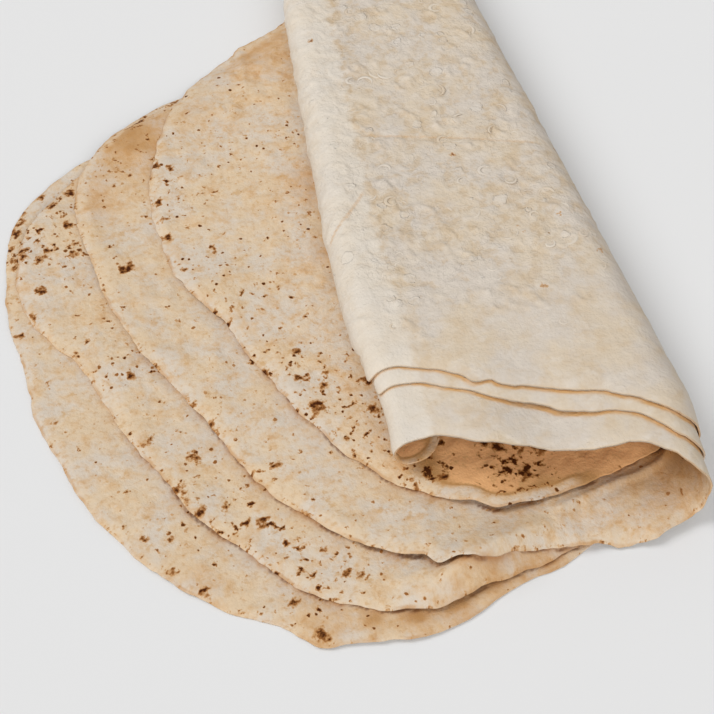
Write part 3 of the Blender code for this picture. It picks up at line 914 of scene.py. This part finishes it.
def browned_face():
    """Wheat dough baked against a hot griddle: it looks dry and matt, cream clouded with tan,
    with scorched blisters that have lost the last of the sheen. Shade is painted beside the rims,
    under the front rims and on the crease, and a warm glow is painted inside the mouth and the
    curl."""
    material, tree, shader, place, baked, room, beside = dough("griddle_browned_dough", 0.78)
    toast_shade_and_glow, crowded, scorched = baked
    # cream dough, warmer in broad clouds, toasted tan in patches
    clouds = add(tree, "noise", place, 1 / 24, 3, 0.6)
    mottle = add(tree, "noise", warped(tree, place, 14, 6.0), 1 / 8, 4, 0.6)
    colour = tint(tree, "#D3C5B4", "#DAC2A2", clouds, 0.36, 0.62)
    heat = add(tree, "multiply_add", toast_shade_and_glow, 0.16, mottle)
    colour = tint(tree, colour, "#D2AE82", heat, 0.46, 0.68, 0.0, 0.65)
    colour = tint(tree, colour, "#BC8A52", heat, 0.62, 0.78, 0.0, 0.6)
    # a fine grain, darker where the dough touched the griddle and floury in its hollows
    grain = add(tree, "noise", place, 1 / 3, 4, 0.62)
    colour = tint(tree, colour, "#C69F72", grain, 0.50, 0.72, 0.0, 0.6)
    colour = tint(tree, colour, "#DDD1C2", grain, 0.28, 0.44, 0.4, 0.0)
    # what is browned all over, with painted shade in brown, up to a light orange tan painted inside
    # the mouth and the curl as a warm glow of light
    colour = tint(tree, colour, "#C6945A", toast_shade_and_glow, 0.0, 1.0, 0.0, 0.45)
    colour = tint(tree, colour, "#B4844C", toast_shade_and_glow, 0.75, 1.1, 0.0, 0.85)
    colour = tint(tree, colour, "#E9B27A", toast_shade_and_glow, 1.15, 1.5, 0.0, 0.95)
    # ochre flecks
    ochre = add(tree, "noise", warped(tree, place, 5, 3.0), 1 / 5.5, 3, 0.6)
    colour = tint(tree, colour, "#C39860", ochre, 0.58, 0.72, 0.0, 0.55)
    # how burnt: small specks, broader ones, the scorched blisters, and spots on the rim
    crowd = add(tree, "multiply_add", crowded, 0.095, both(tree, clouds, 0.12))
    broad = add(tree, "noise", warped(tree, place, 4, 1.6), 1 / 4.4, 3, 0.55)
    broad = add(tree, "ramp", add(tree, "add", broad, crowd), 0.70, 0.88)
    marks = crumbled(tree, place, scorched, 2.6, 2.4, -0.08)
    rim_spots = add(tree, "noise", place, 1 / 3.2, 3, 0.6)
    rim_spots = add(tree, "ramp", rim_spots, 0.55, 0.80, 0.0, 0.9)
    rim_spots = both(tree, rim_spots, add(tree, "ramp", room, 0.4, 2.6, 1.0, 0.0))
    burn = specks(tree, place, crowded)
    for more in (broad, marks, rim_spots):
        burn = add(tree, "maximum", burn, more)
    # the rim itself, browned here and there
    along_rim = add(tree, "noise", place, 1 / 13, 2)
    edge = both(tree, add(tree, "ramp", room, 0.2, 1.6, 1.0, 0.0),
                add(tree, "ramp", along_rim, 0.42, 0.66, 0.0, 0.7))
    colour = add(tree, "blend", edge, colour, "#BE9160")
    # painted shade in warm brown in the corner beside the next sheet's rim, and a broken painted
    # shadow, nearly black, close under it
    corner = both(tree, beside, add(tree, "ramp", along_rim, 0.35, 0.60, 0.3, 1.0))
    colour = add(tree, "blend", corner, colour, "#AC7848")
    deep_shade = add(tree, "ramp", add(tree, "noise", place, 1 / 10, 3), 0.44, 0.58, 0.0, 0.65)
    deep_shade = both(tree, deep_shade, add(tree, "ramp", beside, 0.45, 0.85))
    colour = add(tree, "blend", deep_shade, colour, "#683813")
    # burning turns the dough tan, brown, then nearly black
    colour = tint(tree, colour, "#C08E56", burn, 0.02, 0.30, 0.0, 0.8)
    colour = tint(tree, colour, "#96612F", burn, 0.26, 0.56)
    colour = tint(tree, colour, "#48220A", burn, 0.54, 0.90)
    charred = add(tree, "ramp", burn, 0.2, 0.8, 0.5, 0.1)        # char has less sheen than dough
    tree.links.new(charred, shader.inputs["Specular IOR Level"])
    # a rough skin, raised a little where it is burnt
    skin = add(tree, "multiply_add", mottle, 1.4, add(tree, "noise", place, 1 / 1.7, 3, 0.6))
    skin = add(tree, "multiply_add", burn, 0.5, skin)
    finish(tree, shader, colour, skin, 0.55)
    return material


def pale_face():
    """The side of the dough that faced away from the griddle: to the eye dusted with flour, pale
    and quite matt, with the broken skins of small blisters, and with shade and highlights painted
    where light falls on its puffs, rims and folded edge."""
    material, tree, shader, place, baked, room, beside = dough("floury_pale_dough", 0.85)
    blistered, lit_edge, scorched = baked
    # pale dough in broad clouds, tan in patches
    clouds = add(tree, "noise", place, 1 / 30, 3, 0.6)
    mottle = add(tree, "noise", warped(tree, place, 18, 9.0), 1 / 13, 4, 0.58)
    colour = tint(tree, "#CFC4B7", "#D3C3AD", clouds, 0.38, 0.62)
    colour = tint(tree, colour, "#C8AF8D", mottle, 0.48, 0.72, 0.0, 0.5)
    # puffs, with a painted highlight on top and painted shade in tan in the valleys between them
    puffs = add(tree, "noise", warped(tree, place, 11, 6.0), 1 / 7, 3, 0.55)
    valley_shade = both(tree, add(tree, "ramp", puffs, 0.34, 0.50, 0.50, 0.0), blistered)
    colour = add(tree, "blend", valley_shade, colour, "#C3AA88")
    colour = tint(tree, colour, "#D9CEC0", puffs, 0.52, 0.68, 0.0, 0.45)
    # broken skins: round cells, some of them there, each with a torn ring and a pale inside
    cells = add(tree, "ShaderNodeTexVoronoi", settings={"Scale": 1 / BLISTER_CELL},
                Vector=warped(tree, place, 7, 3.2))
    draw = add(tree, "ShaderNodeSeparateColor", i0=cells.outputs["Color"]).outputs
    there = both(tree, add(tree, "less_than", draw[0], 0.5), blistered)
    radius = add(tree, "multiply_add", draw[1], 0.17, 0.15)
    away = add(tree, "subtract", cells.outputs["Distance"], radius)
    torn = add(tree, "ramp", add(tree, "noise", place, 1 / 4.5, 2), 0.44, 0.56)
    ring = add(tree, "ramp", add(tree, "absolute", away), 0.0, 0.05, 1.0, 0.0)
    ring = both(tree, ring, both(tree, there, torn))
    inside = both(tree, add(tree, "ramp", away, -0.04, 0.01, 1.0, 0.0), there)
    colour = add(tree, "blend", both(tree, inside, 0.35), colour, "#DAD2C8")
    colour = add(tree, "blend", both(tree, ring, 0.30), colour, "#DDD5CA")
    # fine puckers, where two sides of the noise meet
    puckers = add(tree, "noise", warped(tree, place, 6, 5.0), 1 / 5, 2, 0.5)
    puckers = add(tree, "absolute", add(tree, "subtract", puckers, 0.5))
    puckers = add(tree, "ramp", puckers, 0.0, 0.03, 1.0, 0.0)
    patches = add(tree, "ramp", add(tree, "noise", place, 1 / 18, 2), 0.45, 0.62)
    puckers = both(tree, puckers, patches, blistered)
    # a painted highlight towards the folded edge, which faces the light, with a band of painted
    # shade along its border that breaks up
    uneven = add(tree, "add", lit_edge, -0.6)
    lit_edge = add(tree, "multiply_add", add(tree, "noise", place, 1 / 10, 3), 1.2, uneven)
    edge_shade_band = both(tree, add(tree, "ramp", lit_edge, 0.20, 0.42),
                  add(tree, "ramp", lit_edge, 0.50, 0.85, 1.0, 0.0),
                  add(tree, "ramp", puffs, 0.42, 0.60, 0.45, 0.0), blistered)
    colour = add(tree, "blend", edge_shade_band, colour, "#BC9C70")
    colour = tint(tree, colour, "#DFD6C9", lit_edge, 0.25, 0.95, 0.0, 0.62)
    # the few scorched spots
    marks = crumbled(tree, place, scorched, 2.4, 2.4, -0.25)
    colour = tint(tree, colour, "#BC905F", marks, 0.05, 0.35, 0.0, 0.8)
    colour = tint(tree, colour, "#8C5A33", marks, 0.40, 0.70)
    # the rim, toasted tan, and painted shade in tan and golden brown along the rims of other sheets
    # and along creases
    colour = tint(tree, colour, "#D2AE80", room, 0.1, 1.0, 0.3, 0.0)
    line = add(tree, "ramp", add(tree, "noise", place, 1 / 9, 2), 0.35, 0.6, 0.6, 0.95)
    line = both(tree, line, add(tree, "ramp", beside, 0.22, 0.75))
    colour = add(tree, "blend", line, colour, "#C99A60")
    colour = tint(tree, colour, "#E6B880", beside, 0.70, 0.95, 0.0, 0.55)
    # a soft skin with the puffs, rings and puckers raised on it
    skin = add(tree, "multiply_add", mottle, 1.3, add(tree, "noise", place, 1 / 1.9, 3, 0.6))
    for raised, amount in ((both(tree, puffs, blistered), 3.0), (ring, 1.1), (inside, 0.35),
                           (puckers, 0.30)):
        skin = add(tree, "multiply_add", raised, amount, skin)
    finish(tree, shader, colour, skin, 0.7)
    return material


# Curled scraps of skin where blisters of the flap's outer face broke open: how wide a curl is
# across its middle in mm, and how far round it goes in degrees
FLAKE_KINDS = ((7.0, 200), (10.0, 120), (5.2, 290))
FLAKE_COUNT = 80
FLAKE_WALL = 1.9
FLAKE_HEIGHT = 0.55
FLAKE_SIZES = (0.5, 1.25)
FLAKE_TRIES = 4 * FLAKE_COUNT
FLAKE_BAKING = (0.5, 0.6, 0.0)   # blistered, painted highlight, scorched


def flake_places():
    """A mesh of points on the flap's outer face, with what each flake needs to know."""
    rng = np.random.default_rng(12)
    line = rng.uniform(TURN_END - 6, FLAP_END - 6, FLAKE_TRIES)
    along = rng.uniform(0, 400, FLAKE_TRIES)
    across = flat_across(line, along)
    crowd = 0.5 + 0.7 * ripple(np.stack([across, along], 1), 38, 7)
    kept = ((rng.uniform(0, 1, len(line)) < crowd * (0.12 + 0.88 * ease((along - 75) / 40)))
            & (uneven_rim(0, across, along) > 6))
    line, along, across = (values[kept][:FLAKE_COUNT] for values in (line, along, across))
    side = -THICKNESS / 2 - back_relief(0, across, along)
    here = folded(0, line, along, side)
    ahead = folded(0, line + 1, along, side) - here
    beside = folded(0, line, along + 1, side) - here
    facing = np.cross(beside, ahead)
    facing *= np.sign(facing[:, 2:])
    mesh = bpy.data.meshes.new("flake_places")
    mesh.vertices.add(len(here))
    mesh.vertices.foreach_set("co", (here * MM).ravel())
    give_attribute(mesh, "facing", facing / np.linalg.norm(facing, axis=1)[:, None])
    give_attribute(mesh, "flat_place", np.stack([across, along, 0 * line + BACK_PATTERN], 1))
    give_attribute(mesh, "baking", np.tile(FLAKE_BAKING, (len(line), 1)))
    give_attribute(mesh, "rim_room", 0 * line + 50)      # far from any rim
    give_attribute(mesh, "rim_shade", 0 * line)
    return mesh


def flake_tree(material):
    """Geometry Nodes: a curled strip with pointed ends on each place, in a few kinds."""
    tree = bpy.data.node_groups.new("blister_flakes", "GeometryNodeTree")
    for name, kind in (("Places", "Geometry"), ("Wall", "Float"), ("Height", "Float"),
                       ("Smallest", "Float"), ("Largest", "Float"), ("Seed", "Int")):
        tree.interface.new_socket(name, in_out="INPUT", socket_type="NodeSocket" + kind)
    tree.interface.new_socket("Flakes", in_out="OUTPUT", socket_type="NodeSocketGeometry")
    given = add(tree, "NodeGroupInput").outputs
    # a low oval section
    round_section = add(tree, "GeometryNodeCurvePrimitiveCircle", settings={"Resolution": 6},
                        Radius=add(tree, "multiply", given["Wall"], 0.5)).outputs[0]
    squash = add(tree, "ShaderNodeCombineXYZ", settings={"X": 1.0, "Z": 1.0},
                 Y=add(tree, "divide", given["Height"], given["Wall"])).outputs[0]
    section = add(tree, "GeometryNodeTransform", Geometry=round_section, Scale=squash)
    # swept round each kind's arc, thick in the middle and pointed at both ends
    share = add(tree, "GeometryNodeSplineParameter").outputs["Factor"]
    taper = add(tree, "sine",
                add(tree, "multiply_add", share, math.pi * 0.9, math.pi * 0.05))
    kinds = add(tree, "GeometryNodeJoinGeometry")
    for width, sweep in FLAKE_KINDS:
        arc = add(tree, "GeometryNodeCurveArc",
                  settings={"Resolution": 9, "Radius": width / 2 * MM,
                            "Sweep Angle": math.radians(sweep)})
        strip = add(tree, "GeometryNodeCurveToMesh", settings={"Fill Caps": True},
                    i0=arc.outputs[0], i1=section.outputs[0], i2=taper)
        one = add(tree, "GeometryNodeGeometryToInstance", i0=strip.outputs[0])
        tree.links.new(one.outputs[0], kinds.inputs[0])
    # a random kind, turn and size on each place, flat on the dough
    which = add(tree, "FunctionNodeRandomValue", Seed=given["Seed"],
                settings={"data_type": "INT", "i4": 0, "i5": len(FLAKE_KINDS) - 1})
    turn = add(tree, "FunctionNodeRandomValue", Seed=add(tree, "add", given["Seed"], 1.0),
               settings={"data_type": "FLOAT", "i2": 0.0, "i3": math.tau})
    size = add(tree, "FunctionNodeRandomValue", Seed=add(tree, "add", given["Seed"], 2.0),
               settings={"data_type": "FLOAT"}, i2=given["Smallest"], i3=given["Largest"])
    facing = add(tree, "GeometryNodeInputNamedAttribute",
                 settings={"data_type": "FLOAT_VECTOR", "Name": "facing"}).outputs[0]
    upright = add(tree, "FunctionNodeAlignRotationToVector", settings={"axis": "Z"},
                  Vector=facing)
    turned = add(tree, "FunctionNodeAxisAngleToRotation", settings={"Axis": (0.0, 0.0, 1.0)},
                 Angle=turn.outputs[1])
    turned = add(tree, "FunctionNodeRotateRotation", settings={"rotation_space": "LOCAL"},
                 i0=upright.outputs[0], i1=turned.outputs[0])
    flakes = add(tree, "GeometryNodeInstanceOnPoints", settings={"Pick Instance": True},
                 Points=given["Places"], Instance=kinds.outputs[0], i4=which.outputs[2],
                 Rotation=turned.outputs[0], Scale=size.outputs[1])
    soft = add(tree, "GeometryNodeSetShadeSmooth", i0=flakes.outputs[0])
    real = add(tree, "GeometryNodeRealizeInstances", i0=soft.outputs[0])
    done = add(tree, "GeometryNodeSetMaterial", settings={"Material": material},
               i0=real.outputs[0])
    tree.links.new(done.outputs[0], add(tree, "NodeGroupOutput").inputs[0])
    return tree


def make_flakes(material):
    """The flakes on the flap's outer face, as one plain mesh."""
    holder = bpy.data.objects.new("flake_places", flake_places())
    bpy.context.scene.collection.objects.link(holder)
    modifier = holder.modifiers.new("blister_flakes", "NODES")
    modifier.node_group = flake_tree(material)
    sizes = {"Wall": FLAKE_WALL * MM, "Height": FLAKE_HEIGHT * MM, "Smallest": FLAKE_SIZES[0],
             "Largest": FLAKE_SIZES[1], "Seed": 5}
    for socket in modifier.node_group.interface.items_tree:
        if socket.in_out == "INPUT" and socket.name in sizes:
            modifier[socket.identifier] = sizes[socket.name]
    evaluated = holder.evaluated_get(bpy.context.evaluated_depsgraph_get())
    mesh = bpy.data.meshes.new_from_object(evaluated)
    bpy.data.objects.remove(holder)
    obj = bpy.data.objects.new("blister_flakes", mesh)
    bpy.context.scene.collection.objects.link(obj)
    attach(obj, "root")


# The photograph's view: how the camera stands to the bread
CAMERA_TARGET = (0.0103, -0.1036, 0.0)
CAMERA_ELEVATION = math.radians(50)
CAMERA_DISTANCE = 0.750
CAMERA_LENS = 75.63


def make_camera():
    """The camera of the photograph's view."""
    data = bpy.data.cameras.new("camera")
    data.lens = CAMERA_LENS
    data.sensor_width = 36
    data.sensor_fit = "HORIZONTAL"
    camera = bpy.data.objects.new("camera", data)
    bpy.context.scene.collection.objects.link(camera)
    back = Vector((0, -math.cos(CAMERA_ELEVATION), math.sin(CAMERA_ELEVATION)))
    camera.location = Vector(CAMERA_TARGET) + CAMERA_DISTANCE * back
    camera.rotation_euler = back.to_track_quat("Z", "Y").to_euler()
    bpy.context.scene.camera = camera


def make_sun(name, place, softness, power):
    """A soft light from far away: where it stands, its width in degrees and its power."""
    data = bpy.data.lights.new(name, "SUN")
    data.angle = math.radians(softness)
    data.energy = power
    light = bpy.data.objects.new(name, data)
    bpy.context.scene.collection.objects.link(light)
    light.location = place
    light.rotation_euler = Vector(place).to_track_quat("Z", "Y").to_euler()


# The studio: name, place, width in degrees and power of each soft light, the power of the white
# room round it, and half the floor's side in m
LIGHTS = (("key", (-1.0, 0.35, 1.0), 34, 1.42), ("fill", (0.15, -1.0, 0.62), 50, 1.65))
ROOM_LIGHT = 0.406
FLOOR_HALF = 4.0


def make_studio():
    """A plain pale floor under soft light, most of it from the upper left."""
    mesh = bpy.data.meshes.new("floor")
    corners = [(x * FLOOR_HALF, y * FLOOR_HALF, 0) for x, y in ((-1, -1), (1, -1), (1, 1), (-1, 1))]
    mesh.from_pydata(corners, [], [(0, 1, 2, 3)])
    floor = bpy.data.objects.new("floor", mesh)
    bpy.context.scene.collection.objects.link(floor)
    material = bpy.data.materials.new("floor_paper")
    material.use_nodes = True
    shader = material.node_tree.nodes["Principled BSDF"]
    shader.inputs["Base Color"].default_value = linear("#E5E5E5")
    shader.inputs["Roughness"].default_value = 0.9
    mesh.materials.append(material)
    world = bpy.data.worlds.new("studio")
    world.use_nodes = True
    world.node_tree.nodes["Background"].inputs[0].default_value = linear("#FFFFFF")
    world.node_tree.nodes["Background"].inputs[1].default_value = ROOM_LIGHT
    bpy.context.scene.world = world
    for light in LIGHTS:
        make_sun(*light)
    bpy.context.scene.view_settings.view_transform = "Standard"


def main():
    """Builds the breads, the flakes, the camera and the studio."""
    face, back = browned_face(), pale_face()
    for sheet in range(len(SHEETS)):
        make_sheet(sheet, face, back)
    make_flakes(back)
    make_camera()
    make_studio()


main()
